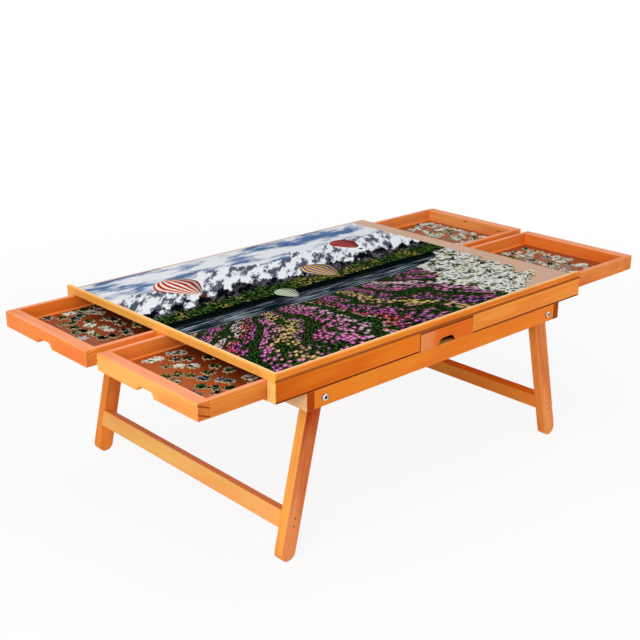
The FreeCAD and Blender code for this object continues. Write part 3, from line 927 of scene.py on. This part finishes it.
def strewn_pieces(drawer, low, high, groups, green_share, seed):
    """Groups of pieces dropped on a drawer's panel, none nearer to another than their sizes.

    A piece is turned about its middle, by any angle round Z and by half a turn if it lies face
    down, and moved to its place; a joined pair is turned as one. low and high are the corners of
    where the groups' middles may lie, and green_share is the part of the pieces from the lake.
    """
    drop = np.random.default_rng(seed)
    laid = []

    def lay(place, pair, flip, height):
        """One piece, or two joined ones, of the lake and firs or of the blossom in the picture."""
        first_column, first_row = drop.integers(*lake_pieces)
        if drop.random() > green_share:
            first_column, first_row = drop.integers(*blossom_pieces)
        turn = drop.uniform(0, 2 * math.pi)
        middle = (first_column + (1.0 if pair else 0.5), first_row + 0.5) * piece_size
        for column in range(first_column, first_column + (2 if pair else 1)):
            laid.append((column, first_row, *middle, *place, turn, flip, height))

    places = []
    reaches = []
    for place in drop.uniform(low, high, (tries, 2)):
        pair = drop.random() < pair_share
        reach = pair_reach if pair else single_reach
        distances = [math.dist(place, other) for other in places]
        apart = [distance > reach + other for distance, other in zip(distances, reaches)]
        if all(apart) and len(places) < groups:
            lay(place, pair, -1 if drop.random() < face_down_share else 1, 0.0)
            nearest = min(distances, default=math.inf)
            if nearest < across_distance and drop.random() < across_share:
                between = (place + places[distances.index(nearest)]) / 2
                lay(between, False, 1, card_thickness + across_gap)
            places.append(place)
            reaches.append(reach)

    column, row = np.array(laid)[:, :2].astype(int).T
    sheet_x, sheet_y, place_x, place_y, turn, flip, height = np.array(laid).T[2:, :, None]
    sheet_points = card_points(column, row, loose_rounding)
    away_x = sheet_points[:, :, 0] - sheet_x
    away_y = (sheet_points[:, :, 1] - sheet_y) * flip
    lifted = np.where(flip < 0, card_thickness - sheet_points[:, :, 2], sheet_points[:, :, 2])
    placed = np.stack([away_x * np.cos(turn) - away_y * np.sin(turn) + place_x,
                       away_x * np.sin(turn) + away_y * np.cos(turn) + place_y,
                       lifted + height + panel_top], axis=2)
    card_pieces("loose_pieces_" + drawer, drawer, placed, sheet_points, 1)


strewn_pieces("back_left_drawer", (-0.562, 0.100), (-0.440, 0.285),
              groups=23, green_share=0.65, seed=5)
strewn_pieces("front_left_drawer", (-0.570, -0.262), (-0.440, -0.046),
              groups=24, green_share=0.75, seed=8)
strewn_pieces("back_right_drawer", (0.490, 0.085), (0.582, 0.284),
              groups=30, green_share=0.25, seed=21)
strewn_pieces("front_right_drawer", (0.478, -0.262), (0.570, -0.052),
              groups=31, green_share=0.25, seed=34)


# ================================================================ floor, lamps and camera
# A plain white floor, which fades into a white background, the strongest of three soft lamps at
# the left and the others in front and above, and a camera that looks down on the front left.
def lamp(name, position, target, size, power):
    """Square soft lamp with its middle at a position, turned to its target."""
    light = bpy.data.lights.new(name, "AREA")
    light.size = size
    light.energy = power
    holder = bpy.data.objects.new(name, light)
    bpy.context.scene.collection.objects.link(holder)
    holder.location = position
    holder.rotation_euler = (Vector(target) - Vector(position)).to_track_quat("-Z", "Y").to_euler()


lamp("left_lamp", (-2.3, -0.9, 1.5), (0.0, 0.0, 0.3), 2.0, 44)
lamp("front_lamp", (1.4, -2.6, 1.3), (0.2, 0.0, 0.3), 1.8, 22)
lamp("top_lamp", (0.0, 0.3, 2.8), (0.0, 0.0, 0.3), 2.6, 30)


def seen_directly(start):
    """1 for the camera and for what gloss or glass shows, 0 for soft light."""
    paths = [start.node("LightPath", output=name)
             for name in ("Is Camera Ray", "Is Glossy Ray", "Is Transmission Ray")]
    return paths[0].larger(paths[1]).larger(paths[2])


world_light = 0.28
world = bpy.data.worlds.new("studio")
bpy.context.scene.world = world
world.use_nodes = True
sky = Wire(world.node_tree)
background = world.node_tree.nodes["Background"]
strength = world_light + seen_directly(sky) * (1 - world_light)
world.node_tree.links.new(strength.socket, background.inputs["Strength"])
background.inputs["Color"].default_value = (1.0, 1.0, 1.0, 1.0)

floor_radius = 9.0
floor_corners = 96
near_white = 0.90
fade_start = 0.9
fade_end = 2.2
floor_mesh = bpy.data.meshes.new("floor")
angles = np.linspace(0, 2 * math.pi, floor_corners, endpoint=False)
ring = np.stack([np.cos(angles), np.sin(angles), np.zeros(floor_corners)], axis=1) * floor_radius
floor_mesh.from_pydata(ring.tolist(), [], [list(range(floor_corners))])
floor = bpy.data.objects.new("floor", floor_mesh)
bpy.context.scene.collection.objects.link(floor)
floor_finish, start = new_finish("floor_white")
floor_mesh.materials.append(floor_finish)
place = start.object_place()
distance = place.node("VectorMath", {"operation": "LENGTH"}, {0: place}, "Value")
far = distance.step(fade_start, fade_end)
set_surface(floor_finish, {"Base Color": (0.9, 0.9, 0.9, 1.0), "Roughness": 0.9})
tree = floor_finish.node_tree
glow = tree.nodes.new("ShaderNodeEmission")
mixed = tree.nodes.new("ShaderNodeMixShader")
shown = seen_directly(start) * (near_white + far * (1 - near_white))
tree.links.new(shown.socket, mixed.inputs[0])
tree.links.new(tree.nodes["Principled BSDF"].outputs[0], mixed.inputs[1])
tree.links.new(glow.outputs[0], mixed.inputs[2])
tree.links.new(mixed.outputs[0], tree.nodes["Material Output"].inputs["Surface"])

sensor_width = 36.0
focal_pixels = 1084.96
picture_pixels = 640
heading = 0.74437
dip = -0.34155
camera_data = bpy.data.cameras.new("camera")
camera_data.sensor_width = sensor_width
camera_data.lens = sensor_width * focal_pixels / picture_pixels
camera = bpy.data.objects.new("camera", camera_data)
bpy.context.scene.collection.objects.link(camera)
camera.location = (-1.50065 + table_middle, -1.60234, 1.06680)
level = math.cos(dip)
view = Vector((math.sin(heading) * level, math.cos(heading) * level, math.sin(dip)))
camera.rotation_euler = view.to_track_quat("-Z", "Y").to_euler()
bpy.context.scene.camera = camera
bpy.context.scene.view_settings.view_transform = "Standard"
